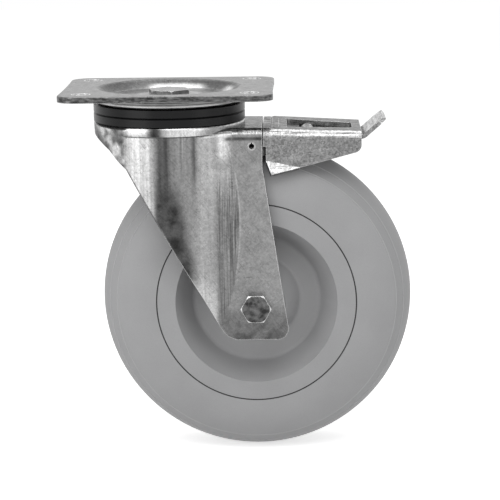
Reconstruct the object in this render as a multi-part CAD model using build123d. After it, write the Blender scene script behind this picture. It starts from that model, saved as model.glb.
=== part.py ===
"""Swivel castor with a trailing total-lock brake.

Origin: middle of the four-hole pattern, on the top face of the mounting plate.
+Z is up along the swivel axis, +X is the trailing side (wheel and brake pedal),
and Y runs along the wheel's axle. All sizes are in millimetres.
"""

from build123d import *
import math
import os

# ---------------------------------------------------------------- driving dimensions
# Mounting plate
PLATE_LENGTH = 135.0  # along X
PLATE_WIDTH = 110.0  # along Y
PLATE_THICKNESS = 4.0
PLATE_CORNER_R = 12.0
PLATE_WAIST = 0.8  # how far the short sides bow in at their middle
PLATE_EDGE_R = 0.8  # rolled upper edge left by the blanking die
HOLE_SPACING_X = 105.0
HOLE_SPACING_Y = 80.0
HOLE_R = 5.5
DISH_R = 45.5  # where the pressed dish starts on the top face
DISH_WALL_RUN = 6.0  # radial run of the dish's sloping wall
DISH_DEPTH = 5.6
BOSS_R = 15.0  # raised seat round the kingpin head
BOSS_RUN = 9.0
BOSS_HEIGHT = 1.1
DISH_BEND_R = 3.0

# Kingpin and what it clamps
KINGPIN_R = 8.0
KINGPIN_FIT = 0.05  # radial gap of the shank in each piece it holds
KINGPIN_HEAD_AF = 24.0
KINGPIN_HEAD_HEIGHT = 2.9
KINGPIN_HEAD_TURN = -19.0  # degrees the hexagon is turned from having a corner on +X
SLEEVE_R = 11.0
CUP_R = 29.5
CUP_THICKNESS = 3.0
CUP_RIM_WALL = 2.2
CUP_RIM_GAP = 0.9  # air between the cup's rim and the crown above it
LOCK_RING_R = 31.0
LOCK_RING_THICKNESS = 3.0
LOCK_TOOTH_COUNT = 24
LOCK_TOOTH_DEPTH = 1.8
LOCK_TOOTH_GAP = 4.0
LOCK_TOOTH_LENGTH = 6.0
WASHER_R = 14.0
WASHER_THICKNESS = 1.5
KINGPIN_NUT_HEIGHT = 8.0
KINGPIN_END = 1.0  # thread left standing out of the nut

# Swivel bearing: two rows of balls in pressed races
UPPER_BALL_D = 9.0
UPPER_RACE_R = 33.0
UPPER_GROOVE_DEPTH = 1.2
LOWER_BALL_D = 7.0
LOWER_RACE_R = 23.0
LOWER_GROOVE_DEPTH = 0.9
RACE_CLEARANCE = 0.05
BALL_SPACING = 0.4  # air between neighbouring balls

# Seal ring between plate and fork
SEAL_R = 48.6
SEAL_WALL = 3.2
SEAL_LIP = 2.0
SEAL_FOOT = 2.2
SEAL_TOP_GAP = 0.3
SEAL_SEAM = 0.6  # depth and half height of the seam line round its middle

# Fork
FORK_THICKNESS = 4.0
CUP_WALL_R = 48.3  # outside of the drawn cup
CROWN_HOLE_R = 12.0
CROWN_R = 39.3  # flat top of the crown
CROWN_STEP_RUN = 2.2
CROWN_STEP_DROP = 4.2
CUP_SHOULDER_R = 5.6
LEG_HALF_WIDTH = 43.0  # outside of the legs at the axle
NECK_HALF_WIDTH = 33.5  # outside of the brake channel
CREASE_X = 41.0
NECK_BOTTOM_Z = -48.0
LEG_FLARE_END_Z = -115.0
TONGUE_DROP = 3.0  # from the crown's shoulder down to the channel's flat top
TONGUE_END_X = 59.8
FOLD_R = 4.5
LEG_CORNER_R = 7.0
LEG_TIP_R = 13.0
LEG_BOTTOM_MARGIN = 21.1  # axle centre to the lower edge of the legs
LEG_TRAIL_MARGIN = 21.6  # axle centre to the trailing corner of the legs
LEAD_EDGE_DROP = 6.2  # below the cup's shoulder where the trimmed edge starts
LEAD_EDGE_KNEE = (-36.5, -36.4)  # X and Z of the corners along the trimmed front edge
LEAD_EDGE_STEP = (-30.8, -42.8)
LEAD_EDGE_TOP = (-25.5, -47.5)  # where the long sloping edge starts
LEAD_EDGE_R = 4.0
LEAD_EDGE_SLOPE = 1.754  # drop for each millimetre of X along that edge

# Wheel
WHEEL_R = 100.0
SWIVEL_OFFSET = 55.0  # swivel axis to axle
TOTAL_HEIGHT = 236.0  # plate top to floor
CROWN_RADIUS = 33.0  # section radius of the rounded tread
SHOULDER_R = 89.0
TYRE_BASE_R = 63.6
TYRE_BULGE = 1.5
TYRE_SEAM = 0.6
RIB_R = 70.0
RIB_HALF_WIDTH = 13.0
RIM_HALF_WIDTH = 30.6
RIM_LIP = 1.2  # how far the rim's inner edge stands proud
RIM_INNER_R = 51.8
DISH_FLOOR_R = 41.0
DISH_FLOOR_Y = 14.0
HUB_FLARE_R = 27.6
HUB_BOSS_R = 19.0
HUB_HALF_LENGTH = 36.0
HUB_FILLET = 3.0
HUB_BORE_R = 11.5
HUB_CAP_SEAT = 3.0
ROLLER_COUNT = 10
ROLLER_HALF_LENGTH = 27.0
ROLLER_CLEARANCE = 0.05
CAGE_WALL = 1.5
CAGE_POCKET_GAP = 0.3
CAGE_RIM = 3.0
CAP_R = 18.0
CAP_THICKNESS = 2.2
CAP_GAP = 0.5

# Axle
AXLE_BOLT_R = 5.0
AXLE_TUBE_R = 7.5
AXLE_FIT = 0.05
AXLE_HEAD_AF = 17.0
AXLE_HEAD_HEIGHT = 7.0
AXLE_NUT_HEIGHT = 9.5
AXLE_END = 1.5
HEX_CHAMFER = 1.0

# Brake pedal
PIVOT_X = 53.2
PIVOT_Z = -34.6
PIVOT_PIN_R = 2.5
PIVOT_PIN_BORE_R = 1.7
PIVOT_PIN_SLIT = 0.7
PIVOT_PIN_PROUD = 0.3
RUNNING_FIT = 0.05
SIDE_GAP = 0.3
PEDAL_THICKNESS = 3.0
PEDAL_START_GAP = 2.4
PEDAL_LENGTH = 60.3
PEDAL_END_HALF_WIDTH = 28.5
PEDAL_SLOPE = 0.045
PEDAL_TOP_DROP = 0.2  # below the channel's flat top at the joint
PEDAL_FOLD_R = 5.5
PEDAL_FLANGE_SLOPE = 0.25  # rise of the side's lower edge towards the free end
PEDAL_NOSE_R = 5.0
LIP_LENGTH = 21.6  # along the fold of the turned-out lower corner
LIP_START_DROP = 20.2
LIP_FOLD_DROP = 4.8
LIP_TIP_RUN = 3.4
LIP_FLARE = 4.5
LIP_DEPTH = 8.2
SLOT_START = 13.2  # from the pedal's fork end
SLOT_LENGTH = 41.4
SLOT_HALF_WIDTH_START = 20.0
SLOT_HALF_WIDTH_END = 12.0
SLOT_CORNER_R = 2.0
STEP_LENGTH = 5.2
STEP_DEPTH = 0.5

# Brake bracket, lock tongue, shoe and release lever, all inside the pedal
BRAKE_TRAVEL = 9.0  # degrees the pedal goes down
BRACKET_THICKNESS = 3.0
BRACKET_EAR_R = 6.5
BRACKET_END_X = 94.0
BRACKET_END_DEPTH = 8.5
BRIDGE_START_X = 43.5
BRIDGE_END_X = 49.5
BRIDGE_TOP_GAP = 2.6  # under the fork's channel
BRIDGE_THICKNESS = 2.5
TONGUE_WIDTH = 22.0
TONGUE_THICKNESS = 2.0
TONGUE_TIP_X = 26.0
TONGUE_TIP_FLAT = 5.0
TONGUE_BEND_BACK = 3.0  # from the bridge's edge to the tongue's first bend
TONGUE_TIP_Z = -34.5  # tops of the teeth with the pedal up
TONGUE_TOOTH_HEIGHT = 1.7
TONGUE_TOOTH_WIDTH = 2.6
TONGUE_RIVET_R = 2.0
TONGUE_RIVET_HEAD_R = 3.4
TONGUE_RIVET_HEAD = 0.6
SHOE_LENGTH = 19.0
SHOE_START = 2.0
SHOE_HALF_WIDTH = 19.0
SHOE_THICKNESS = 2.4
PAD_HALF_WIDTH = 15.0
PAD_SKIRT = 10.0  # how far the uncut block reaches below the top of the tread
PAD_CLEARANCE = 0.5  # left over the tyre when the pedal is fully down
LEVER_PIN_X = 88.5
LEVER_PIN_Z = -30.4
LEVER_PIN_R = 2.0
LEVER_THICKNESS = 2.8
LEVER_EYE_WALL = 2.4
LEVER_EYE_HALF_WIDTH = 9.0
LEVER_HALF_WIDTH = 19.0
LEVER_NECK_HALF_WIDTH = 10.0
LEVER_GAP = 0.5
LEVER_BEND_GAP = 1.0
LEVER_TAB_LENGTH = 17.5
LEVER_TAB_ANGLE = 41.0
LEVER_TAB_CHAMFER = 4.0
LEVER_BEND_R = 3.0
SPRING_THICKNESS = 0.7
SPRING_HALF_WIDTH = 10.0
SPRING_START_X = 44.6
SPRING_END_X = 58.5
SPRING_RIVET_X = 55.0
SPRING_RIVET_R = 1.5
SPRING_RIVET_HEAD_R = 3.0
SPRING_RIVET_HEAD = 1.2
SPRING_RIVET_DEPTH = 3.0  # into the channel's top, from below

# Helpers for cutting and joining
THROUGH = 200.0  # longer than anything that is cut right through
MARGIN = 1.0  # how far a cutting outline starts outside the metal
OVERLAP = 0.2  # how far pieces of one solid run into each other

# ---------------------------------------------------------------- derived places
PLATE_UNDER = -(DISH_DEPTH + PLATE_THICKNESS)  # underside of the dish
SEAT_TOP = -(DISH_DEPTH - BOSS_HEIGHT)  # where the kingpin head sits
SEAT_UNDER = SEAT_TOP - PLATE_THICKNESS
UPPER_TUBE_R = UPPER_BALL_D / 2 + RACE_CLEARANCE
UPPER_BALL_Z = PLATE_UNDER + UPPER_GROOVE_DEPTH - UPPER_TUBE_R
CROWN_TOP = UPPER_BALL_Z - UPPER_TUBE_R + UPPER_GROOVE_DEPTH
CROWN_UNDER = CROWN_TOP - FORK_THICKNESS
SHOULDER_TOP = CROWN_TOP - CROWN_STEP_DROP
LOWER_TUBE_R = LOWER_BALL_D / 2 + RACE_CLEARANCE
LOWER_BALL_Z = CROWN_UNDER + LOWER_GROOVE_DEPTH - LOWER_TUBE_R
CUP_TOP = LOWER_BALL_Z - LOWER_TUBE_R + LOWER_GROOVE_DEPTH
CUP_UNDER = CUP_TOP - CUP_THICKNESS
LOCK_RING_UNDER = CUP_UNDER - LOCK_RING_THICKNESS
WASHER_UNDER = LOCK_RING_UNDER - WASHER_THICKNESS
KINGPIN_NUT_UNDER = WASHER_UNDER - KINGPIN_NUT_HEIGHT
SHANK_HOLE_R = KINGPIN_R + KINGPIN_FIT

AXLE_Z = WHEEL_R - TOTAL_HEIGHT
LEG_INSIDE = LEG_HALF_WIDTH - FORK_THICKNESS
NECK_INSIDE = NECK_HALF_WIDTH - FORK_THICKNESS
CUP_INSIDE_R = CUP_WALL_R - FORK_THICKNESS
TONGUE_TOP = SHOULDER_TOP - TONGUE_DROP
TONGUE_UNDER = TONGUE_TOP - FORK_THICKNESS
LEG_BOTTOM = AXLE_Z - LEG_BOTTOM_MARGIN
LEG_REACH_X = SWIVEL_OFFSET + LEG_TRAIL_MARGIN

PEDAL_X = TONGUE_END_X + PEDAL_START_GAP
PEDAL_END_X = PEDAL_X + PEDAL_LENGTH
PEDAL_TOP = TONGUE_TOP - PEDAL_TOP_DROP
EAR_OUTSIDE = NECK_INSIDE - SIDE_GAP
EAR_INSIDE = EAR_OUTSIDE - BRACKET_THICKNESS
PEDAL_TAPER = (NECK_HALF_WIDTH - PEDAL_END_HALF_WIDTH) / PEDAL_LENGTH
BRIDGE_TOP = TONGUE_UNDER - BRIDGE_TOP_GAP
BRIDGE_UNDER = BRIDGE_TOP - BRIDGE_THICKNESS
LEVER_EYE_R = LEVER_PIN_R + RUNNING_FIT + LEVER_EYE_WALL


# ---------------------------------------------------------------- helpers
def write(name, shape):
    export_step(shape, f"parts/{name}.step")


def ring(outer_r, inner_r, z_low, z_high):
    """A plain ring about Z between two heights."""
    height = z_high - z_low
    body = Cylinder(outer_r, height) - Cylinder(inner_r, height)
    return Pos(0, 0, (z_low + z_high) / 2) * body


def bar(radius, z_low, z_high):
    """A plain round bar about Z between two heights."""
    return Pos(0, 0, (z_low + z_high) / 2) * Cylinder(radius, z_high - z_low)


def spin(points):
    """A solid of revolution about Z from (radius, height) points."""
    face = make_face(Polyline(*points, close=True))
    return revolve(Plane.XZ * face, Axis.Z)


def hexagon(across_flats, z_low, z_high, chamfer_low=0.0, chamfer_high=0.0):
    """A hexagonal prism about Z, its corners turned off by a cone at either end."""
    corner_r = across_flats / math.sqrt(3)
    prism = extrude(RegularPolygon(corner_r, 6), z_high - z_low)
    solid = Pos(0, 0, z_low) * prism
    points = [(0, z_low), (corner_r - chamfer_low, z_low)]
    if chamfer_low:
        points.append((corner_r, z_low + chamfer_low * math.tan(math.radians(30))))
    if chamfer_high:
        points.append((corner_r, z_high - chamfer_high * math.tan(math.radians(30))))
    points += [(corner_r - chamfer_high, z_high), (0, z_high)]
    return solid & spin(points)


def on_axle(shape):
    """Turns a shape made about Z so that it lies about the axle, its +Z to -Y."""
    return Pos(SWIVEL_OFFSET, 0, AXLE_Z) * Rot(X=90) * shape


def side_prism(face, half_width):
    """Extrudes an X-Z outline to both sides of the middle plane."""
    return extrude(Plane.XZ * face, half_width, both=True)


def both_sides(shape):
    """The shape and its mirror image across the middle plane, as one group."""
    return [shape, mirror(shape, Plane.XZ)]


def tangent_point(radius, x, y):
    """Where a line from (x, y) touches a circle about the origin, on the far side."""
    angle = math.atan2(y, x) + math.acos(radius / math.hypot(x, y))
    return radius * math.cos(angle), radius * math.sin(angle)


# ---------------------------------------------------------------- mounting plate
def plate_blank():
    half_x, half_y = PLATE_LENGTH / 2, PLATE_WIDTH / 2
    waist_x = half_x - PLATE_WAIST
    outline = [
        Line((-half_x, -half_y), (half_x, -half_y)),
        ThreePointArc((half_x, -half_y), (waist_x, 0), (half_x, half_y)),
        Line((half_x, half_y), (-half_x, half_y)),
        ThreePointArc((-half_x, half_y), (-waist_x, 0), (-half_x, -half_y)),
    ]
    face = make_face(outline)
    face = fillet(face.vertices(), PLATE_CORNER_R)
    blank = extrude(face, -PLATE_THICKNESS)
    return fillet(blank.faces().sort_by(Axis.Z)[-1].edges(), PLATE_EDGE_R)


def plate_dish():
    """The pressed centre: raised seat, flat floor and sloping wall, one sheet thick."""
    floor_r = DISH_R - DISH_WALL_RUN
    slope = math.atan2(DISH_DEPTH, DISH_WALL_RUN)
    shift = PLATE_THICKNESS * math.tan(slope / 2)
    edge_r = DISH_R + 2 * PLATE_THICKNESS
    top = [(edge_r, 0), (DISH_R, 0), (floor_r, -DISH_DEPTH)]
    top += [(BOSS_R + BOSS_RUN, -DISH_DEPTH), (BOSS_R, SEAT_TOP), (SHANK_HOLE_R, SEAT_TOP)]
    under = [(SHANK_HOLE_R, SEAT_UNDER), (BOSS_R, SEAT_UNDER)]
    under += [(BOSS_R + BOSS_RUN, PLATE_UNDER), (floor_r + shift, PLATE_UNDER)]
    under += [(DISH_R + shift, -PLATE_THICKNESS), (edge_r, -PLATE_THICKNESS)]
    face = make_face(Polyline(*top, *under, close=True))
    bends = [v for v in face.vertices() if floor_r - MARGIN < v.X < DISH_R + shift + MARGIN]
    face = fillet(bends, DISH_BEND_R)
    return revolve(Plane.XZ * face, Axis.Z), edge_r


def make_top_plate():
    dish, edge_r = plate_dish()
    plate = plate_blank() - Cylinder(edge_r, 3 * PLATE_THICKNESS) + dish
    holes = GridLocations(HOLE_SPACING_X, HOLE_SPACING_Y, 2, 2)
    plate -= holes * Cylinder(HOLE_R, 3 * PLATE_THICKNESS)
    return plate - Pos(0, 0, UPPER_BALL_Z) * Torus(UPPER_RACE_R, UPPER_TUBE_R)


# ---------------------------------------------------------------- swivel head
def make_kingpin():
    end_z = KINGPIN_NUT_UNDER - KINGPIN_END
    shank = Pos(0, 0, (end_z + SEAT_TOP) / 2) * Cylinder(KINGPIN_R, SEAT_TOP - end_z)
    shank = chamfer(shank.edges().sort_by(Axis.Z)[0], HEX_CHAMFER)
    head = hexagon(KINGPIN_HEAD_AF, SEAT_TOP, SEAT_TOP + KINGPIN_HEAD_HEIGHT, 0, HEX_CHAMFER)
    return shank + Rot(Z=KINGPIN_HEAD_TURN) * head


def ball_row(ball_d, race_r, height):
    count = int(2 * math.pi * race_r / (ball_d + BALL_SPACING))
    ball = Sphere(ball_d / 2)
    return Compound([place * Pos(0, 0, height) * ball for place in PolarLocations(race_r, count)])


def make_lower_race_cup():
    rim_top = CROWN_UNDER - CUP_RIM_GAP
    body = ring(CUP_R, SHANK_HOLE_R, CUP_UNDER, CUP_TOP)
    rim = ring(CUP_R, CUP_R - CUP_RIM_WALL, CUP_UNDER, rim_top)
    race = Pos(0, 0, LOWER_BALL_Z) * Torus(LOWER_RACE_R, LOWER_TUBE_R)
    return body + rim - race


def make_lock_ring():
    """A toothed disc: its teeth point down and catch the lock tongue's teeth."""
    disc = ring(LOCK_RING_R, SHANK_HOLE_R, LOCK_RING_UNDER, CUP_UNDER)
    slot = Box(2 * LOCK_TOOTH_LENGTH, LOCK_TOOTH_GAP, 2 * LOCK_TOOTH_DEPTH)
    slot = Pos(0, 0, LOCK_RING_UNDER) * slot
    slots = [place * slot for place in PolarLocations(LOCK_RING_R, LOCK_TOOTH_COUNT)]
    return disc - slots


def make_seal_ring():
    """A black ring: a lip under the dish, a foot on the crown's shoulder, and a seam."""
    top = PLATE_UNDER - SEAL_TOP_GAP
    wall_r = SEAL_R - SEAL_WALL
    lip_r = wall_r - SEAL_LIP
    foot_r = CROWN_R + CROWN_STEP_RUN + SIDE_GAP
    seam_z = (top + SHOULDER_TOP) / 2
    points = [
        (foot_r, SHOULDER_TOP),
        (SEAL_R, SHOULDER_TOP),
        (SEAL_R, seam_z - SEAL_SEAM),
        (SEAL_R - SEAL_SEAM, seam_z),
        (SEAL_R, seam_z + SEAL_SEAM),
        (SEAL_R, top),
        (lip_r, top),
        (lip_r, top - SEAL_LIP),
        (wall_r, top - SEAL_LIP),
        (wall_r, SHOULDER_TOP + SEAL_FOOT),
        (foot_r, SHOULDER_TOP + SEAL_FOOT),
    ]
    return spin(points)


# ---------------------------------------------------------------- fork
def crown_profile(wall_r, crown_r, top, shoulder_r):
    """Half section of the drawn cup, from the middle out and down its wall."""
    shoulder = top - CROWN_STEP_DROP
    step_r = crown_r + CROWN_STEP_RUN
    points = [(0, top), (crown_r, top), (step_r, shoulder), (wall_r, shoulder)]
    points += [(wall_r, LEG_BOTTOM), (0, LEG_BOTTOM)]
    face = make_face(Polyline(*points, close=True))
    corner = face.vertices().sort_by_distance((wall_r, shoulder))[0]
    return fillet([corner], shoulder_r)


def leg_section(wall_r, neck_x, neck_y, leg_y, z, flared):
    """Plan section of the trailing part: round wall, slant, then flat sides."""
    side_y = leg_y if flared else neck_y
    if flared:
        start_x, start_y = math.sqrt(wall_r**2 - leg_y**2), leg_y
    else:
        start_x, start_y = tangent_point(wall_r, neck_x, neck_y)
    end_x = LEG_REACH_X + FORK_THICKNESS
    half = [(0, start_y), (start_x, start_y), (neck_x, side_y), (end_x, side_y)]
    mirrored = [(x, -y) for x, y in reversed(half)]
    return Pos(0, 0, z) * make_face(Polyline(*half, *mirrored, close=True))


def fork_body(wall_r, crown_r, top, shoulder_r, inset, fold_r):
    """One closed solid: the cup with the channel and the two flaring legs behind it."""
    neck_y = NECK_HALF_WIDTH - inset
    leg_y = LEG_HALF_WIDTH - inset
    slant = math.atan2(NECK_HALF_WIDTH - CUP_WALL_R / 2, CREASE_X)
    neck_x = CREASE_X - inset * math.tan(slant)
    channel_top = TONGUE_TOP - inset
    cup = revolve(Plane.XZ * crown_profile(wall_r, crown_r, top, shoulder_r), Axis.Z)
    neck_face = leg_section(wall_r, neck_x, neck_y, leg_y, NECK_BOTTOM_Z, False)
    neck = extrude(neck_face, channel_top - NECK_BOTTOM_Z)
    if fold_r:
        top_edges = neck.faces().sort_by(Axis.Z)[-1].edges()
        long_edges = [e for e in top_edges if e.center().X > neck_x / 2 and abs(e.center().Y) > MARGIN]
        neck = fillet(long_edges, fold_r)
    flare_face = leg_section(wall_r, neck_x, neck_y, leg_y, LEG_FLARE_END_Z, True)
    flare = loft([neck_face, flare_face], ruled=True)
    shank = extrude(flare_face, LEG_BOTTOM - LEG_FLARE_END_Z)
    return cup + neck + flare + shank


def fork_outline():
    """What the trimming die leaves, seen from the side."""
    lead_x, lead_z = LEAD_EDGE_TOP
    tip_x = lead_x + (lead_z - LEG_BOTTOM) / LEAD_EDGE_SLOPE
    front_x = -CUP_WALL_R - 2 * MARGIN
    points = [
        (front_x, CROWN_TOP + MARGIN),
        (front_x, SHOULDER_TOP - LEAD_EDGE_DROP),
        LEAD_EDGE_KNEE,
        LEAD_EDGE_STEP,
        (lead_x, lead_z),
        (tip_x, LEG_BOTTOM),
        (LEG_REACH_X, LEG_BOTTOM),
        (TONGUE_END_X, NECK_BOTTOM_Z),
        (TONGUE_END_X, CROWN_TOP + MARGIN),
    ]
    face = make_face(Polyline(*points, close=True))

    def near(x, z):
        return face.vertices().sort_by_distance((x, z))[0]

    face = fillet([near(tip_x, LEG_BOTTOM)], LEG_TIP_R)
    face = fillet([near(LEG_REACH_X, LEG_BOTTOM)], LEG_CORNER_R)
    return fillet([near(*LEAD_EDGE_KNEE), near(*LEAD_EDGE_STEP)], LEAD_EDGE_R)


def make_fork():
    outer = fork_body(CUP_WALL_R, CROWN_R, CROWN_TOP, CUP_SHOULDER_R, 0, FOLD_R)
    step_slope = math.atan2(CROWN_STEP_DROP, CROWN_STEP_RUN)
    inner_crown_r = CROWN_R - FORK_THICKNESS * math.tan(step_slope / 2)
    inner_shoulder_r = CUP_SHOULDER_R - FORK_THICKNESS
    inner = fork_body(CUP_INSIDE_R, inner_crown_r, CROWN_UNDER, inner_shoulder_r, FORK_THICKNESS, 0)
    shell = (outer - inner) & side_prism(fork_outline(), 2 * CUP_WALL_R)
    shell -= Cylinder(CROWN_HOLE_R, THROUGH)
    shell -= Pos(0, 0, UPPER_BALL_Z) * Torus(UPPER_RACE_R, UPPER_TUBE_R)
    shell -= Pos(0, 0, LOWER_BALL_Z) * Torus(LOWER_RACE_R, LOWER_TUBE_R)
    shell -= on_axle(Cylinder(AXLE_BOLT_R + AXLE_FIT, 3 * LEG_HALF_WIDTH))
    shell -= pivot_axis(PIVOT_X, PIVOT_Z) * Cylinder(PIVOT_PIN_R, THROUGH)
    rivet_hole = bar(SPRING_RIVET_R, TONGUE_UNDER - MARGIN, TONGUE_UNDER + SPRING_RIVET_DEPTH)
    return shell - Pos(SPRING_RIVET_X, 0, 0) * rivet_hole


# ---------------------------------------------------------------- wheel
def make_tyre():
    """Solid rubber tyre: rounded tread, bulged sidewalls, grooved bore over the rim's rib."""
    seam_r, seam_y = TYRE_BASE_R + TYRE_SEAM, RIM_HALF_WIDTH - TYRE_SEAM
    shoulder_y = math.sqrt(CROWN_RADIUS**2 - (SHOULDER_R - WHEEL_R + CROWN_RADIUS) ** 2)
    bulge_r = (seam_r + SHOULDER_R + TYRE_BULGE) / 2
    bulge_y = (RIM_HALF_WIDTH + shoulder_y) / 2 + TYRE_BULGE
    outline = [
        Line((TYRE_BASE_R, -seam_y), (seam_r, -RIM_HALF_WIDTH)),
        ThreePointArc((seam_r, -RIM_HALF_WIDTH), (bulge_r, -bulge_y), (SHOULDER_R, -shoulder_y)),
        ThreePointArc((SHOULDER_R, -shoulder_y), (WHEEL_R, 0), (SHOULDER_R, shoulder_y)),
        ThreePointArc((SHOULDER_R, shoulder_y), (bulge_r, bulge_y), (seam_r, RIM_HALF_WIDTH)),
        Line((seam_r, RIM_HALF_WIDTH), (TYRE_BASE_R, seam_y)),
        Polyline(
            (TYRE_BASE_R, seam_y),
            (TYRE_BASE_R, RIB_HALF_WIDTH),
            (RIB_R, RIB_HALF_WIDTH),
            (RIB_R, -RIB_HALF_WIDTH),
            (TYRE_BASE_R, -RIB_HALF_WIDTH),
            (TYRE_BASE_R, -seam_y),
        ),
    ]
    return on_axle(revolve(Plane.XZ * make_face(outline), Axis.Z))


def make_wheel_hub():
    """Moulded centre: rim, two dished faces, and a long boss bored for the rollers."""
    half = [
        (HUB_BORE_R, HUB_HALF_LENGTH),
        (HUB_BOSS_R, HUB_HALF_LENGTH),
        (HUB_FLARE_R, DISH_FLOOR_Y + RIM_LIP),
        (DISH_FLOOR_R, DISH_FLOOR_Y),
        (RIM_INNER_R, RIM_HALF_WIDTH + RIM_LIP),
        (TYRE_BASE_R, RIM_HALF_WIDTH),
        (TYRE_BASE_R, RIB_HALF_WIDTH),
        (RIB_R, RIB_HALF_WIDTH),
    ]
    mirrored = [(r, -y) for r, y in reversed(half)]
    face = make_face(Polyline(*half, *mirrored, close=True))
    soft = [v for v in face.vertices() if HUB_FLARE_R - MARGIN < v.X < DISH_FLOOR_R + MARGIN]
    face = fillet(soft, HUB_FILLET)
    return on_axle(revolve(Plane.XZ * face, Axis.Z))


def roller_track():
    """Radius of the roller centres and of one roller, between tube and bore."""
    space = HUB_BORE_R - AXLE_TUBE_R
    return AXLE_TUBE_R + space / 2, space / 2 - ROLLER_CLEARANCE


def make_bearing_rollers():
    track_r, roller_r = roller_track()
    roller = Cylinder(roller_r, 2 * ROLLER_HALF_LENGTH)
    places = PolarLocations(track_r, ROLLER_COUNT)
    return on_axle(Compound([place * roller for place in places]))


def make_bearing_cage():
    """A sleeve with one long pocket for each roller."""
    track_r, roller_r = roller_track()
    half = ROLLER_HALF_LENGTH + CAGE_RIM
    sleeve = ring(track_r + CAGE_WALL / 2, track_r - CAGE_WALL / 2, -half, half)
    pocket = Cylinder(roller_r + CAGE_POCKET_GAP, 2 * (ROLLER_HALF_LENGTH + CAGE_POCKET_GAP))
    places = PolarLocations(track_r, ROLLER_COUNT)
    return on_axle(sleeve - [place * pocket for place in places])


def make_hub_caps():
    """Two dust caps that close the ends of the bore, clear of the legs."""
    outer_y = LEG_INSIDE - CAP_GAP
    seat_y = HUB_HALF_LENGTH - HUB_CAP_SEAT
    points = [
        (AXLE_TUBE_R + SIDE_GAP, seat_y),
        (HUB_BORE_R, seat_y),
        (HUB_BORE_R, HUB_HALF_LENGTH),
        (CAP_R, HUB_HALF_LENGTH),
        (CAP_R, outer_y - CAP_THICKNESS / 2),
        (CAP_R - CAP_THICKNESS, outer_y),
        (AXLE_TUBE_R + SIDE_GAP, outer_y),
    ]
    cap = on_axle(spin(points))
    return Compound(both_sides(cap))


# ---------------------------------------------------------------- axle
def make_axle_tube():
    return on_axle(ring(AXLE_TUBE_R, AXLE_BOLT_R + AXLE_FIT, -LEG_INSIDE, LEG_INSIDE))


def make_axle_bolt():
    end = -(LEG_HALF_WIDTH + AXLE_NUT_HEIGHT + AXLE_END)
    shank = bar(AXLE_BOLT_R, end, LEG_HALF_WIDTH)
    shank = chamfer(shank.edges().sort_by(Axis.Z)[0], HEX_CHAMFER)
    head_end = LEG_HALF_WIDTH + AXLE_HEAD_HEIGHT
    head = hexagon(AXLE_HEAD_AF, LEG_HALF_WIDTH, head_end, 0, HEX_CHAMFER)
    return on_axle(shank + head)


def make_axle_nut():
    outer = -(LEG_HALF_WIDTH + AXLE_NUT_HEIGHT)
    nut = hexagon(AXLE_HEAD_AF, outer, -LEG_HALF_WIDTH, HEX_CHAMFER, 0)
    return on_axle(nut - bar(AXLE_BOLT_R + AXLE_FIT, 2 * outer, 0))


# ---------------------------------------------------------------- brake pedal
def pedal_top_z(x):
    return PEDAL_TOP - PEDAL_SLOPE * (x - PEDAL_X)


def pedal_half_width(x):
    return NECK_HALF_WIDTH - PEDAL_TAPER * (x - PEDAL_X)


def pedal_section(x, inset):
    """Cross-section rectangle at one place along the pedal, reaching well below it."""
    half, top = pedal_half_width(x) - inset, pedal_top_z(x) - inset
    low = PEDAL_TOP - 2 * LIP_START_DROP
    corners = [(half, low), (half, top), (-half, top), (-half, low)]
    plane = Plane(origin=(x, 0, 0), x_dir=(0, 1, 0), z_dir=(1, 0, 0))
    return plane * make_face(Polyline(*corners, close=True))


def pedal_block(inset, fold_r):
    start, end = PEDAL_X - inset, PEDAL_END_X + inset
    block = loft([pedal_section(start, inset), pedal_section(end, inset)], ruled=True)
    long_edges = block.edges().filter_by(lambda e: e.length > PEDAL_LENGTH / 2)
    return fillet(long_edges.sort_by(Axis.Z)[-2:], fold_r)


def lip_corners(side):
    """The two ends of the slanting fold, and the outer corner of the lip below it."""
    fold_z = PEDAL_TOP - LIP_START_DROP
    start_y, end_y = pedal_half_width(PEDAL_X), pedal_half_width(PEDAL_X + LIP_LENGTH)
    front = Vector(PEDAL_X, side * start_y, fold_z)
    back = Vector(PEDAL_X + LIP_LENGTH, side * end_y, fold_z - LIP_FOLD_DROP)
    tip_x = PEDAL_X + LIP_TIP_RUN
    return front, back, Vector(tip_x, side * (start_y + LIP_FLARE), fold_z - LIP_DEPTH)


def pedal_side_outline():
    front, back, _ = lip_corners(1)
    overlap = PEDAL_THICKNESS / 2
    end_z = back.Z + PEDAL_FLANGE_SLOPE * (PEDAL_END_X - back.X)
    points = [
        (PEDAL_X, PEDAL_TOP + MARGIN),
        (PEDAL_END_X, PEDAL_TOP + MARGIN),
        (PEDAL_END_X, end_z),
        (back.X, back.Z),
        (PEDAL_X, front.Z - overlap),
    ]
    face = make_face(Polyline(*points, close=True))
    nose = face.vertices().sort_by_distance((PEDAL_END_X, end_z))[0]
    return fillet([nose], PEDAL_NOSE_R)


def slot_cutter(depth):
    start, end = PEDAL_X + SLOT_START, PEDAL_X + SLOT_START + SLOT_LENGTH
    wide, narrow = SLOT_HALF_WIDTH_START, SLOT_HALF_WIDTH_END
    corners = [(start, -wide), (end, -narrow), (end, narrow), (start, wide)]
    face = make_face(Polyline(*corners, close=True))
    face = fillet(face.vertices(), SLOT_CORNER_R)
    return Pos(0, 0, PEDAL_TOP + MARGIN) * extrude(face, -depth)


def lip(side):
    """The lower front corner of one side, turned outward along the slanting fold."""
    face = make_face(Polyline(*lip_corners(side), close=True)).face()
    facing_in = face.normal_at().Y * side < 0
    return extrude(face, PEDAL_THICKNESS if facing_in else -PEDAL_THICKNESS)


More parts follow.
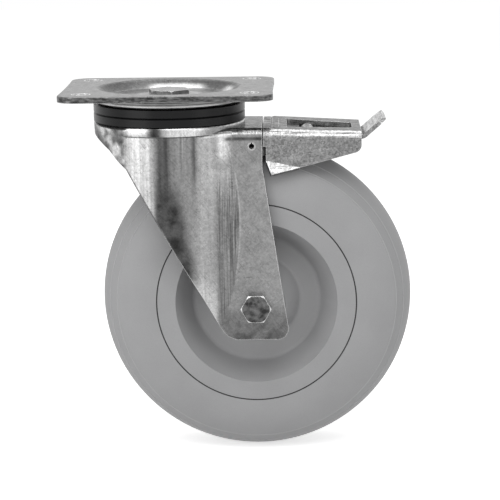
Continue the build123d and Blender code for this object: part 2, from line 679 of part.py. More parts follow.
def make_brake_pedal():
    inner_fold_r = PEDAL_FOLD_R - PEDAL_THICKNESS
    pedal = pedal_block(0, PEDAL_FOLD_R) - pedal_block(PEDAL_THICKNESS, inner_fold_r)
    pedal &= side_prism(pedal_side_outline(), 2 * NECK_HALF_WIDTH)
    pedal = pedal + lip(-1) + lip(1)
    pedal -= slot_cutter(PEDAL_FOLD_R + PEDAL_THICKNESS)
    step = Box(STEP_LENGTH, 2 * SLOT_HALF_WIDTH_START, 2 * STEP_DEPTH)
    step_x = PEDAL_X + SLOT_START - STEP_LENGTH / 2
    return pedal - Pos(step_x, 0, pedal_top_z(step_x)) * step


# ---------------------------------------------------------------- inside the brake
def pivot_axis(x, z):
    """Places a shape made about Z so that it lies along Y at (x, z)."""
    return Pos(x, 0, z) * Rot(X=90)


def make_brake_pins():
    """Two short slit roll pins, each through one side of the channel and one ear."""
    outer, inner = NECK_HALF_WIDTH + PIVOT_PIN_PROUD, EAR_INSIDE - PIVOT_PIN_PROUD
    pin = ring(PIVOT_PIN_R, PIVOT_PIN_BORE_R, inner, outer)
    slit = Box(PIVOT_PIN_SLIT, 2 * PIVOT_PIN_R, 3 * outer)
    pin -= Pos(0, PIVOT_PIN_R, 0) * slit
    return Compound(both_sides(pivot_axis(PIVOT_X, PIVOT_Z) * pin))


def bracket_ear_plan():
    """Plan of one ear: inside the fork's channel, then along the foot of the pedal's fold."""
    joggle_x = PEDAL_X + MARGIN
    start_x = PIVOT_X - BRACKET_EAR_R - BRIDGE_END_X + BRIDGE_START_X
    outside = [
        (start_x, EAR_OUTSIDE),
        (TONGUE_END_X, EAR_OUTSIDE),
        (joggle_x, pedal_half_width(joggle_x) - PEDAL_FOLD_R),
        (BRACKET_END_X, pedal_half_width(BRACKET_END_X) - PEDAL_FOLD_R),
    ]
    inside = [(x, y - BRACKET_THICKNESS) for x, y in reversed(outside)]
    return make_face(Polyline(*outside, *inside, close=True))


def bracket_side_outline():
    low = PIVOT_Z - BRACKET_EAR_R
    weld_x = PEDAL_X + MARGIN
    end_top = pedal_top_z(BRACKET_END_X) - PEDAL_THICKNESS
    points = [
        (BRIDGE_START_X, BRIDGE_TOP),
        (weld_x, BRIDGE_TOP),
        (weld_x, pedal_top_z(weld_x) - PEDAL_THICKNESS),
        (BRACKET_END_X, end_top),
        (BRACKET_END_X, end_top - BRACKET_END_DEPTH),
        (PEDAL_X, low),
        (BRIDGE_END_X, low),
        (BRIDGE_START_X, BRIDGE_UNDER),
    ]
    face = make_face(Polyline(*points, close=True))
    lower = face.vertices().sort_by_distance((BRIDGE_END_X, low))[0]
    return fillet([lower], BRACKET_EAR_R / 2)


def make_brake_bracket():
    """Two ears and the bridge between them: it carries the lock tongue and the lever pin."""
    height = 4 * BRACKET_EAR_R
    ear = Pos(0, 0, PIVOT_Z - height / 2) * extrude(bracket_ear_plan(), height)
    ear &= side_prism(bracket_side_outline(), NECK_HALF_WIDTH)
    length = BRIDGE_END_X - BRIDGE_START_X
    bridge = Box(length, 2 * EAR_INSIDE, BRIDGE_THICKNESS)
    middle_x = (BRIDGE_START_X + BRIDGE_END_X) / 2
    bracket = Pos(middle_x, 0, (BRIDGE_TOP + BRIDGE_UNDER) / 2) * bridge
    for side in both_sides(ear):
        bracket += side
    bracket -= pivot_axis(PIVOT_X, PIVOT_Z) * Cylinder(PIVOT_PIN_R + RUNNING_FIT, THROUGH)
    bracket -= pivot_axis(LEVER_PIN_X, LEVER_PIN_Z) * Cylinder(LEVER_PIN_R, THROUGH)
    return bracket - tongue_rivet_places(Cylinder(TONGUE_RIVET_R, THROUGH))


def tongue_rivet_places(shape):
    x = (BRIDGE_START_X + BRIDGE_END_X) / 2
    return [Pos(x, side * TONGUE_WIDTH / 4, BRIDGE_UNDER) * shape for side in (-1, 1)]


def make_lock_tongue():
    """A joggled strip under the bridge with teeth turned up at its tip."""
    top, bend_x = BRIDGE_UNDER, BRIDGE_START_X - TONGUE_BEND_BACK
    tip_top = TONGUE_TIP_Z - TONGUE_TOOTH_HEIGHT
    flat_x = TONGUE_TIP_X + TONGUE_TIP_FLAT
    upper = [(BRIDGE_END_X, top), (bend_x, top), (flat_x, tip_top), (TONGUE_TIP_X, tip_top)]
    lower = [(x, z - TONGUE_THICKNESS) for x, z in reversed(upper)]
    strip = side_prism(make_face(Polyline(*upper, *lower, close=True)), TONGUE_WIDTH / 2)
    tooth_length = LOCK_RING_R - TONGUE_TIP_X - SIDE_GAP
    tooth = Box(tooth_length, TONGUE_TOOTH_WIDTH, TONGUE_TOOTH_HEIGHT + OVERLAP)
    tooth = Pos(0, 0, (TONGUE_TIP_Z + tip_top - OVERLAP) / 2) * tooth
    pitch = 360 / LOCK_TOOTH_COUNT
    reach = TONGUE_TIP_X + tooth_length / 2
    for turn in (-pitch, 0, pitch):
        strip += Rot(Z=turn) * Pos(reach, 0, 0) * tooth
    return strip - tongue_rivet_places(Cylinder(TONGUE_RIVET_R, THROUGH))


def make_tongue_rivets():
    """Each is flush with the bridge's top, so that it clears the spring above it."""
    low = BRIDGE_UNDER - TONGUE_THICKNESS
    rivet = bar(TONGUE_RIVET_R, low, BRIDGE_TOP)
    rivet += bar(TONGUE_RIVET_HEAD_R, low - TONGUE_RIVET_HEAD, low)
    return Compound(tongue_rivet_places(Pos(0, 0, -BRIDGE_UNDER) * rivet))


def shoe_span():
    start = PEDAL_X + SHOE_START
    return start, start + SHOE_LENGTH


def pad_cut():
    """The tread's cylinder, turned back by the brake's travel about the pivot."""
    turn = math.radians(BRAKE_TRAVEL)
    dx, dz = SWIVEL_OFFSET - PIVOT_X, AXLE_Z - PIVOT_Z
    x = PIVOT_X + dx * math.cos(turn) - dz * math.sin(turn)
    z = PIVOT_Z + dx * math.sin(turn) + dz * math.cos(turn)
    return pivot_axis(x, z) * Cylinder(WHEEL_R + PAD_CLEARANCE, THROUGH)


def make_brake_shoe():
    """A steel strip welded flat under the pedal's top; it backs the pad."""
    start, end = shoe_span()
    upper = [(x, pedal_top_z(x) - PEDAL_THICKNESS) for x in (start, end)]
    lower = [(x, z - SHOE_THICKNESS) for x, z in reversed(upper)]
    return side_prism(make_face(Polyline(*upper, *lower, close=True)), SHOE_HALF_WIDTH)


def make_brake_pad():
    start, end = shoe_span()
    under = PEDAL_THICKNESS + SHOE_THICKNESS
    points = [(x, pedal_top_z(x) - under) for x in (start, end)]
    low = AXLE_Z + WHEEL_R - PAD_SKIRT
    points += [(end, low), (start, low)]
    block = side_prism(make_face(Polyline(*points, close=True)), PAD_HALF_WIDTH)
    return block - pad_cut()


# ---------------------------------------------------------------- release lever
def lever_plan():
    """Plan of the lever: narrow at the eye, wide at the tab."""
    neck, wide = LEVER_NECK_HALF_WIDTH, LEVER_HALF_WIDTH
    half = [
        (LEVER_PIN_X, neck),
        (LEVER_PIN_X + 2 * LEVER_EYE_R, neck),
        (PEDAL_END_X - LEVER_TAB_CHAMFER, wide),
        (PEDAL_END_X + 2 * LEVER_TAB_LENGTH, wide),
    ]
    mirrored = [(x, -y) for x, y in reversed(half)]
    return make_face(Polyline(*half, *mirrored, close=True))


def make_release_lever():
    """A strip with a rolled eye at its inner end and a tab turned up at its outer end."""
    strip_top = pedal_top_z(PEDAL_END_X) - PEDAL_THICKNESS - LEVER_GAP
    strip_low = strip_top - LEVER_THICKNESS
    bend_x = PEDAL_END_X + LEVER_BEND_GAP
    turn = math.radians(LEVER_TAB_ANGLE)
    tip_x = bend_x + LEVER_TAB_LENGTH * math.cos(turn)
    tip_z = strip_top + LEVER_TAB_LENGTH * math.sin(turn)
    back = LEVER_THICKNESS * math.tan(turn / 2)
    points = [
        (LEVER_PIN_X, strip_top),
        (bend_x, strip_top),
        (tip_x, tip_z),
        (tip_x + LEVER_THICKNESS * math.sin(turn), tip_z - LEVER_THICKNESS * math.cos(turn)),
        (bend_x + back, strip_low),
        (LEVER_PIN_X, strip_low),
    ]
    face = make_face(Polyline(*points, close=True))
    inner = face.vertices().sort_by_distance((bend_x, strip_top))[0]
    outer = face.vertices().sort_by_distance((bend_x + back, strip_low))[0]
    face = fillet([inner], LEVER_BEND_R)
    face = fillet([outer], LEVER_BEND_R + LEVER_THICKNESS)
    strip = side_prism(face, LEVER_HALF_WIDTH)
    strip &= extrude(lever_plan(), THROUGH, both=True)
    strip = cut_tab_corners(strip, tip_x, tip_z)
    eye = pivot_axis(LEVER_PIN_X, LEVER_PIN_Z) * Cylinder(LEVER_EYE_R, 2 * LEVER_EYE_HALF_WIDTH)
    bore = pivot_axis(LEVER_PIN_X, LEVER_PIN_Z) * Cylinder(LEVER_PIN_R + RUNNING_FIT, THROUGH)
    return strip + eye - bore


def cut_tab_corners(strip, tip_x, tip_z):
    """Takes both corners off the tab's end, square to the tab."""
    size = LEVER_TAB_CHAMFER * math.sqrt(2)
    for side in (-1, 1):
        block = Rot(Z=45) * Box(size, size, 6 * LEVER_THICKNESS)
        strip -= Pos(tip_x, side * LEVER_HALF_WIDTH, tip_z) * Rot(Y=-LEVER_TAB_ANGLE) * block
    return strip


def make_lever_pin():
    half = pedal_half_width(LEVER_PIN_X + LEVER_PIN_R) - PEDAL_FOLD_R
    return pivot_axis(LEVER_PIN_X, LEVER_PIN_Z) * Cylinder(LEVER_PIN_R, 2 * half)


# ---------------------------------------------------------------- pedal spring
def make_pedal_spring():
    """A leaf riveted under the channel: the pedal's bridge rises against its free end."""
    length = SPRING_END_X - SPRING_START_X
    leaf = Box(length, 2 * SPRING_HALF_WIDTH, SPRING_THICKNESS)
    middle_x = (SPRING_START_X + SPRING_END_X) / 2
    leaf = Pos(middle_x, 0, TONGUE_UNDER - SPRING_THICKNESS / 2) * leaf
    return leaf - Pos(SPRING_RIVET_X, 0, TONGUE_UNDER) * Cylinder(SPRING_RIVET_R, THROUGH)


def make_spring_rivet():
    seat = TONGUE_UNDER - SPRING_THICKNESS
    rivet = bar(SPRING_RIVET_R, seat, TONGUE_UNDER + SPRING_RIVET_DEPTH)
    rivet += bar(SPRING_RIVET_HEAD_R, seat - SPRING_RIVET_HEAD, seat)
    return Pos(SPRING_RIVET_X, 0, 0) * rivet


# ---------------------------------------------------------------- kingpin stack
def make_kingpin_sleeve():
    return ring(SLEEVE_R, SHANK_HOLE_R, CUP_TOP, SEAT_UNDER)


def make_kingpin_washer():
    return ring(WASHER_R, SHANK_HOLE_R, WASHER_UNDER, LOCK_RING_UNDER)


def make_kingpin_nut():
    nut = hexagon(KINGPIN_HEAD_AF, KINGPIN_NUT_UNDER, WASHER_UNDER, HEX_CHAMFER, 0)
    return nut - bar(SHANK_HOLE_R, 2 * KINGPIN_NUT_UNDER, 0)


# ---------------------------------------------------------------- write every piece
PIECES = {
    "top_plate": make_top_plate,
    "kingpin": make_kingpin,
    "kingpin_sleeve": make_kingpin_sleeve,
    "lower_race_cup": make_lower_race_cup,
    "swivel_lock_ring": make_lock_ring,
    "kingpin_washer": make_kingpin_washer,
    "kingpin_nut": make_kingpin_nut,
    "upper_balls": lambda: ball_row(UPPER_BALL_D, UPPER_RACE_R, UPPER_BALL_Z),
    "lower_balls": lambda: ball_row(LOWER_BALL_D, LOWER_RACE_R, LOWER_BALL_Z),
    "seal_ring": make_seal_ring,
    "fork": make_fork,
    "axle_bolt": make_axle_bolt,
    "axle_nut": make_axle_nut,
    "axle_tube": make_axle_tube,
    "tyre": make_tyre,
    "wheel_hub": make_wheel_hub,
    "bearing_rollers": make_bearing_rollers,
    "bearing_cage": make_bearing_cage,
    "hub_caps": make_hub_caps,
    "brake_pins": make_brake_pins,
    "pedal_spring": make_pedal_spring,
    "spring_rivet": make_spring_rivet,
    "brake_pedal": make_brake_pedal,
    "brake_bracket": make_brake_bracket,
    "lock_tongue": make_lock_tongue,
    "tongue_rivets": make_tongue_rivets,
    "brake_shoe": make_brake_shoe,
    "brake_pad": make_brake_pad,
    "lever_pin": make_lever_pin,
    "release_lever": make_release_lever,
}

if __name__ == "__main__":
    os.makedirs("parts", exist_ok=True)
    for piece_name, make in PIECES.items():
        write(piece_name, make())
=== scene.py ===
"""Swivel castor with a brake: looks and small details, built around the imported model."""
import math

import bpy
import bmesh
from mathutils import Matrix, Vector


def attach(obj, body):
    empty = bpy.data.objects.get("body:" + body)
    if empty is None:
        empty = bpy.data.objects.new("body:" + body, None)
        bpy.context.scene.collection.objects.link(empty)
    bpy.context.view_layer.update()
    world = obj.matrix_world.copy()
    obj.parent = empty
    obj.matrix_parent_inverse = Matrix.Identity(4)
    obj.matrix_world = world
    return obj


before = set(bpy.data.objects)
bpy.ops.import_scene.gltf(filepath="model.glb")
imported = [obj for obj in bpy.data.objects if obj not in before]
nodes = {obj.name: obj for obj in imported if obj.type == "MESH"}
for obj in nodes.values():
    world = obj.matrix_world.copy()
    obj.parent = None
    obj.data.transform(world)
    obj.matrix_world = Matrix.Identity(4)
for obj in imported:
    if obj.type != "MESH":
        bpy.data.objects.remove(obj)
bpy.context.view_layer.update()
MM = 0.001
ROUND_FOLD = 6 * MM  # shading radius of the fork's soft bends
EDGE_LEAN = (0.985, 0.90)  # how far a normal has to lean before its edge gets the worn colour and painted highlight
MIX_FACTOR, MIX_A, MIX_B, MIX_RESULT = 0, 6, 7, 2  # sockets of a colour Mix node


# ---------------------------------------------------------------- node helpers
class Material:
    """A node material with a principled shader, and short calls to add nodes."""

    def __init__(self, name, metallic, roughness):
        self.data = bpy.data.materials.new(name)
        self.data.use_nodes = True
        self.tree = self.data.node_tree
        self.shader = self.tree.nodes["Principled BSDF"]
        self.shader.inputs["Metallic"].default_value = metallic
        self.shader.inputs["Roughness"].default_value = roughness
        coordinates = self.add("ShaderNodeTexCoord")
        self.place = coordinates.outputs["Object"]
        self.facing = self.split(coordinates.outputs["Normal"])
        self.relief = []  # bump layers that a zone adds: (height source, distance)

    def add(self, kind, **settings):
        node = self.tree.nodes.new(kind)
        for key, value in settings.items():
            setattr(node, key, value)
        return node

    def link(self, source, target):
        self.tree.links.new(source, target)

    def stretched(self, scale, turn=(0, 0, 0)):
        """The place turned first and then scaled, so long marks can run at any slant."""
        mapping = self.add("ShaderNodeMapping", vector_type="TEXTURE")
        mapping.inputs["Scale"].default_value = [1 / s for s in scale]
        mapping.inputs["Rotation"].default_value = [math.radians(a) for a in turn]
        self.link(self.place, mapping.inputs["Vector"])
        return mapping.outputs["Vector"]

    def noise(self, scale, detail=2.0, vector=None, rough=0.5):
        node = self.add("ShaderNodeTexNoise")
        node.inputs["Scale"].default_value = scale
        node.inputs["Detail"].default_value = detail
        node.inputs["Roughness"].default_value = rough
        self.link(vector or self.place, node.inputs["Vector"])
        return node.outputs["Fac"]

    def cells(self, scale):
        node = self.add("ShaderNodeTexVoronoi", feature="F1")
        node.inputs["Scale"].default_value = scale
        self.link(self.place, node.inputs["Vector"])
        return node.outputs["Color"]

    def ramp(self, source, stops):
        node = self.add("ShaderNodeValToRGB")
        ramp = node.color_ramp
        ramp.elements[0].position = stops[0][0]
        ramp.elements[1].position = stops[-1][0]
        for position, _ in stops[1:-1]:
            ramp.elements.new(position)
        for element, (_, value) in zip(ramp.elements, stops):
            colour = value if isinstance(value, tuple) else (value, value, value)
            element.color = (*colour, 1)
        self.link(source, node.inputs["Fac"])
        return node.outputs["Color"]

    def mix(self, a, b, factor, blend="MIX"):
        node = self.add("ShaderNodeMix", data_type="RGBA", blend_type=blend)
        for value, index in ((factor, MIX_FACTOR), (a, MIX_A), (b, MIX_B)):
            socket = node.inputs[index]
            if isinstance(value, bpy.types.NodeSocket):
                self.link(value, socket)
            elif isinstance(value, tuple):
                socket.default_value = (*value, 1)
            else:
                socket.default_value = value
        return node.outputs[MIX_RESULT]

    def along(self):
        """The X, Y and Z of the object's own frame, in metres."""
        return self.split(self.place)

    def split(self, vector):
        node = self.add("ShaderNodeSeparateXYZ")
        self.link(vector, node.inputs[0])
        return node.outputs

    def math(self, operation, *values):
        node = self.add("ShaderNodeMath", operation=operation)
        for socket, value in zip(node.inputs, values):
            if isinstance(value, (int, float)):
                socket.default_value = value
            else:
                self.link(value, socket)
        return node.outputs[0]

    def rise(self, source, start, end):
        """0 below start, 1 above end, smooth between; start may be above end."""
        node = self.add("ShaderNodeMapRange", interpolation_type="SMOOTHSTEP")
        low, high = min(start, end), max(start, end)
        node.inputs["From Min"].default_value = low
        node.inputs["From Max"].default_value = high
        node.inputs["To Min"].default_value = 0.0 if start < end else 1.0
        node.inputs["To Max"].default_value = 1.0 if start < end else 0.0
        self.link(source, node.inputs["Value"])
        return node.outputs["Result"]

    def within(self, source, low, high, soft):
        """1 between low and high, fading to 0 over soft on each side."""
        return self.both(self.rise(source, low - soft, low + soft),
                         self.rise(source, high + soft, high - soft))

    def both(self, *masks):
        """1 only where every mask is 1."""
        result = masks[0]
        for mask in masks[1:]:
            result = self.math("MULTIPLY", result, mask)
        return result

    def radius(self, x, y):
        """How far the point (x, y) lies from the origin."""
        square = self.math("ADD", self.math("MULTIPLY", x, x), self.math("MULTIPLY", y, y))
        return self.math("SQRT", square)

    def edges(self, reach):
        """1 on sharp outer edges, from how far a rounded normal leans from the true one."""
        bevel = self.add("ShaderNodeBevel", samples=4)
        bevel.inputs["Radius"].default_value = reach
        true = self.add("ShaderNodeNewGeometry").outputs["Normal"]
        lean = self.add("ShaderNodeVectorMath", operation="DOT_PRODUCT")
        self.link(bevel.outputs["Normal"], lean.inputs[0])
        self.link(true, lean.inputs[1])
        return self.rise(lean.outputs["Value"], *EDGE_LEAN)

    def colour(self, source):
        self.link(source, self.shader.inputs["Base Color"])

    def rough(self, source):
        self.link(source, self.shader.inputs["Roughness"])

    def bump(self, layers, soften=0.0, rounder=None):
        """Layers of (height source, distance in metres), one on top of the other."""
        normal = None
        if soften:
            bevel = self.add("ShaderNodeBevel", samples=4)
            bevel.inputs["Radius"].default_value = soften
            if rounder:
                reach = self.math("MULTIPLY_ADD", rounder, ROUND_FOLD - soften, soften)
                self.link(reach, bevel.inputs["Radius"])
                bevel.samples = 8
            normal = bevel.outputs["Normal"]
        for source, distance in layers:
            node = self.add("ShaderNodeBump")
            node.inputs["Distance"].default_value = distance
            self.link(source, node.inputs["Height"])
            if normal:
                self.link(normal, node.inputs["Normal"])
            normal = node.outputs["Normal"]
        self.link(normal, self.shader.inputs["Normal"])


# ---------------------------------------------------------------- materials
WHITE = (1.0, 1.0, 1.0)


def zinc(name, tone, roughness, scratch_turn=(0, 0, 0), contrast=1.0, soften=0.4 * MM,
         zones=None, fold=None, edge_wear_and_highlight_tone=None, wear_and_painted_light=0.6, spangle=0.0):
    """Bright zinc plate on pressed steel: cloudy patches, fine spangle, drawn scratches.

    zones(m, base) paints highlights, reflections and shade into places on the surface, along with
    some marks of pressing, fold(m) says where a bend is rounder than its mesh, and the edge
    colour function gives edges their wear and a painted highlight.
    """
    m = Material(name, 1.0, roughness)
    cloud = m.noise(70, 4)
    patch = m.noise(230, 4)
    speck = m.noise(1300, 3)
    scratch = m.noise(1.0, 3, m.stretched((25, 1400, 1400), scratch_turn))
    cross = m.noise(1.0, 2, m.stretched((900, 40, 900), scratch_turn))
    base = m.ramp(cloud, [(0.32, tone * 0.86), (0.5, tone), (0.70, tone * 1.12)])
    if zones:
        base = zones(m, base)
    low = 1 - 0.45 * contrast
    base = m.mix(base, m.ramp(patch, [(0.35, low), (0.65, 1.0)]), 0.35, "MULTIPLY")
    base = m.mix(base, m.ramp(speck, [(0.36, low), (0.64, 1.0)]), 0.6, "MULTIPLY")
    base = m.mix(base, m.ramp(scratch, [(0.30, 0.55), (0.43, 1.0)]), 0.5 * contrast, "MULTIPLY")
    if spangle:
        grains = m.ramp(m.cells(850), [(0.15, 1 - spangle), (0.85, 1.0)])
        base = m.mix(base, grains, 1.0, "MULTIPLY")
    # worn edges, brightened with a painted highlight
    bright = edge_wear_and_highlight_tone(m) if edge_wear_and_highlight_tone else (0.8, 0.8, 0.8)
    base = m.mix(base, bright, m.math("MULTIPLY", m.edges(0.7 * MM), wear_and_painted_light))
    m.colour(base)
    spread = 0.10 * contrast
    m.rough(m.ramp(patch, [(0.3, roughness - spread), (0.7, roughness + spread)]))
    layers = [(cloud, 0.25 * MM), (patch, 0.06 * MM), (scratch, 0.012 * MM),
              (cross, 0.006 * MM), (speck, 0.010 * MM)]
    m.bump(layers + m.relief, soften, fold(m) if fold else None)
    return m.data


HOLE_X, HOLE_Y = 52.5 * MM, 40 * MM  # the plate's holes, either side of its middle


def plate_painted_light_and_edge(m, base):
    """Painted shading and highlights in rings across the dish, painted highlights on the hole
    rims, and a darker torn edge round the plate.
    """
    x, y, _ = m.along()
    r = m.radius(x, y)
    # painted shading and highlights, ring by ring across the dish
    # the stops of this ramp are radii in tenths of a metre
    rings = m.ramp(m.math("MULTIPLY", r, 10.0), [
        (0.15, 0.45), (0.19, 0.60), (0.23, 0.32), (0.33, 0.26), (0.375, 0.40), (0.405, 0.22),
        (0.44, 0.15), (0.47, 0.27)])
    base = m.mix(base, rings, m.rise(r, 47 * MM, 46 * MM))
    # painted highlights on the far wall of the dish and on its trailing side
    far = m.both(m.within(r, 39 * MM, 42 * MM, 1.5 * MM), m.rise(y, 29 * MM, 36 * MM),
                 m.within(x, -14 * MM, 21 * MM, 5 * MM))
    side = m.both(m.within(r, 39 * MM, 43 * MM, 1.5 * MM), m.within(y, 12 * MM, 21 * MM, 4 * MM),
                  m.rise(x, 20 * MM, 30 * MM))
    base = m.mix(base, WHITE, m.math("MAXIMUM", far, side))
    upright = m.rise(m.math("ABSOLUTE", m.facing[2]), 0.7, 0.4)
    hole = m.radius(m.math("SUBTRACT", m.math("ABSOLUTE", x), HOLE_X),
                    m.math("SUBTRACT", m.math("ABSOLUTE", y), HOLE_Y))
    # painted highlight on the hole rims
    base = m.mix(base, WHITE, m.rise(hole, 6.4 * MM, 5.8 * MM))
    edge = m.both(upright, m.rise(r, 50 * MM, 52 * MM), m.rise(hole, 6 * MM, 7 * MM))
    tears = m.noise(1.0, 4, m.stretched((260, 260, 1100)))
    m.relief.append((tears, 0.03 * MM))
    return m.mix(base, m.ramp(tears, [(0.35, 0.06), (0.65, 0.26)]), edge)


def pedal_painted_light(m, base):
    """Painted highlights on the folds and turned-out lips, and painted shade on the top faces."""
    fold = m.within(m.facing[2], 0.22, 0.93, 0.06)
    line = m.noise(1.0, 2, m.stretched((30, 30, 900)))
    streak = m.ramp(line, [(0.36, 0.50), (0.60, 1.0)])
    # painted shade: the faces that look straight up are darker
    base = m.mix(base, (0.21, 0.21, 0.21), m.rise(m.facing[2], 0.95, 0.98))
    # painted highlight along the folds and lips
    return m.mix(base, streak, fold)


class ForkPaintedLightAndMarks:
    """Lays painted highlights, painted reflections and painted shade over the fork's zinc, with
    some real marks of pressing, one on top of the other.

    Places are in mm. X runs to the trailing side and Z is up, from the plate's top face.
    """

    def __init__(self, m, base):
        self.m = m
        self.base = base
        self.x, _, self.z = m.along()
        self.up = m.facing[2]
        self.grain = m.noise(1.0, 3, m.stretched((520, 300, 14)))
        self.blotch = m.noise(120, 4)
        self.below = self.z_rise(-24.5, -27.5)  # under the shoulder of the cup

    def x_rise(self, start, end):
        return self.m.rise(self.x, start * MM, end * MM)

    def z_rise(self, start, end):
        return self.m.rise(self.z, start * MM, end * MM)

    def x_band(self, low, high, soft):
        return self.m.within(self.x, low * MM, high * MM, soft * MM)

    def z_band(self, low, high, soft):
        return self.m.within(self.z, low * MM, high * MM, soft * MM)

    def lay(self, tone, *masks, vary=0.35, source=None):
        """A tone, broken up by source or the grain, where all the masks are 1."""
        stops = [(0.35, tone * (1 - vary)), (0.6, min(tone * 1.08, 1))]
        shade = self.m.ramp(source or self.grain, stops)
        self.base = self.m.mix(self.base, shade, self.m.both(*masks))

    def front_wall(self):
        """A painted highlight beside the leading edge, then a dark run, partly burnished by the
        drawing and partly a painted dark reflection, its widening patch, and lighter and darker
        painted runs beside it.
        """
        m = self.m
        self.lay(0.72, self.x_rise(-6.5, -11), self.below, vary=0.25)
        self.lay(0.15, self.x_band(-6, 3, 2.5), self.below)
        self.lay(0.40, self.x_band(4, 14.5, 1.5), self.z_rise(-58, -46), self.below)
        self.lay(0.18, self.x_band(15.8, 19, 1.6), self.z_rise(-72, -44), self.below)
        right = m.math("MULTIPLY_ADD", self.z, -0.17, -3.4 * MM)  # the patch's slanted side
        past = m.math("SUBTRACT", self.x, right)
        self.lay(0.12, m.rise(past, 5 * MM, -4 * MM), self.x_rise(-8.5, -5),
                 self.z_rise(-50, -70), vary=0.6, source=self.blotch)

    def bend(self):
        """A painted highlight down the bend, brightest at its foot."""
        self.lay(0.50, self.x_band(20, 29, 2.5), self.below, vary=0.08)
        self.lay(0.75, self.x_band(14, 30, 2.5), self.z_rise(-110, -132), vary=0.1)

    def sheared_edge(self):
        """The sheared front edge, which shows as a greyer line."""
        m = self.m
        slope = m.math("MULTIPLY_ADD", self.z, 0.5701, 52.58 * MM)
        self.lay(0.28, m.rise(m.math("ADD", self.x, slope), 1.3 * MM, 0.6 * MM),
                 self.z_rise(-45, -48), self.x_rise(4, -2))

    def side_wall(self):
        """The scratched run up to the bowed crease line, whose bow is painted shading rather than
        shape, a painted highlight along the crease and a bright painted patch at its top, and the
        darker foot of the leg.
        """
        m = self.m
        # the crease's X is a parabola of Z, with Z in metres
        bow = m.math("MULTIPLY_ADD", self.z, -2.942, -0.4923)
        crease = m.math("SUBTRACT", self.x, m.math("MULTIPLY_ADD", bow, self.z, 24.9 * MM))
        streaks = m.noise(1.0, 4, m.stretched((1300, 300, 16)))
        self.lay(0.36, self.x_rise(30, 33), m.rise(crease, 0.5 * MM, -0.5 * MM),
                 self.z_rise(-40, -66), vary=0.6, source=streaks)
        self.lay(0.50, m.within(crease, -0.5 * MM, 0.5 * MM, 0.4 * MM),
                 self.z_rise(-118, -112), self.below, vary=0.4)
        self.lay(0.80, self.x_band(31.5, 38, 2.5), self.z_band(-42, -27, 5), vary=0.2)
        self.lay(0.22, self.x_rise(29, 37), self.z_rise(-128, -152), vary=0.5,
                 source=self.blotch)

    def shoulder(self):
        """Under the ring: two painted highlights with a painted dark reflection between, and a
        thin line of painted shade in the crease below.
        """
        top = self.z_rise(-26.6, -26.0)
        cup = self.x_rise(31, 27)
        bright = self.m.math("MAXIMUM", self.x_band(-24, -12, 2), self.x_band(0, 22, 5))
        self.lay(0.95, bright, top, cup, vary=0.1)
        self.lay(0.06, self.x_band(-10, -3, 3), top)
        self.lay(0.10, self.z_band(-27.0, -26.5, 0.2), cup)

    def channel(self):
        """Behind the cup: painted shade on the top faces and a painted highlight on the fold."""
        m = self.m
        behind = self.x_rise(31, 36)
        self.lay(0.18, behind, m.rise(self.up, 0.93, 0.97))
        self.lay(0.75, behind, m.within(self.up, 0.2, 0.93, 0.06), self.z_rise(-32, -30))

    def gathered_front(self):
        """The front of the cup is wrinkled where the sheet was gathered, with painted dark and
        bright reflections in the dents.
        """
        m = self.m
        wrinkle = m.noise(70, 2)
        front = m.both(self.x_rise(-23, -28), self.z_rise(-21, -23))
        dents = m.ramp(wrinkle, [(0.40, 0.05), (0.52, 0.25), (0.62, 0.85)])
        self.base = m.mix(self.base, dents, front)
        m.relief.append((m.both(wrinkle, front), 2.0 * MM))

    def wear_and_painted_light(self):
        """Painted shade in a dark run under the fold, a faint lighter arc over the axle, and
        slanting scuffs.
        """
        m = self.m
        self.lay(0.14, self.x_rise(34, 39), self.z_band(-30.8, -28.8, 0.7), vary=0.6,
                 source=self.blotch)
        away = m.radius(m.math("SUBTRACT", self.x, 51 * MM), m.math("ADD", self.z, 139 * MM))
        self.lay(0.45, m.within(away, 22.0 * MM, 22.8 * MM, 0.5 * MM),
                 self.z_rise(-124, -119), self.x_band(42, 66, 4), vary=0.5)
        scuff = m.noise(1.0, 4, m.stretched((90, 400, 1300), (0, 52, 0)))
        streak = m.ramp(scuff, [(0.33, 0.55), (0.42, 1.0)])
        self.base = m.mix(self.base, streak, 0.5, "MULTIPLY")


def fork_painted_light_and_marks(m, base):
    """Painted highlights, painted reflections and painted shade on the fork, with real wrinkles
    and scuffs.
    """
    marks = ForkPaintedLightAndMarks(m, base)
    marks.front_wall()
    marks.bend()
    marks.sheared_edge()
    marks.side_wall()
    marks.shoulder()
    marks.channel()
    marks.gathered_front()
    marks.wear_and_painted_light()
    return marks.base


def fork_edge_tone_and_highlight(m):
    """The sheared edge is dark along the front, with a painted highlight on the edges behind."""
    return m.ramp(m.rise(m.along()[0], -7 * MM, 2 * MM), [(0.0, 0.10), (1.0, 0.85)])


def fork_folds(m):
    """Where the leg turns from the round wall to its flat side, away from cut edges."""
    x, _, z = m.along()
    return m.both(m.within(x, 27 * MM, 50 * MM, 2 * MM), m.within(z, -118 * MM, -36 * MM, 3 * MM))


def head_highlight_and_worn_face(m, base):
    """A painted highlight on a bolt head's chamfer; its worn face is darker and blotched."""
    worn = m.ramp(m.noise(260, 4), [(0.36, 0.05), (0.66, 0.22)])
    outward = m.math("ABSOLUTE", m.facing[1])
    # painted highlight on the chamfer
    base = m.mix(base, (0.8, 0.8, 0.8), m.within(outward, 0.3, 0.93, 0.05))
    return m.mix(base, worn, m.rise(outward, 0.93, 0.98))


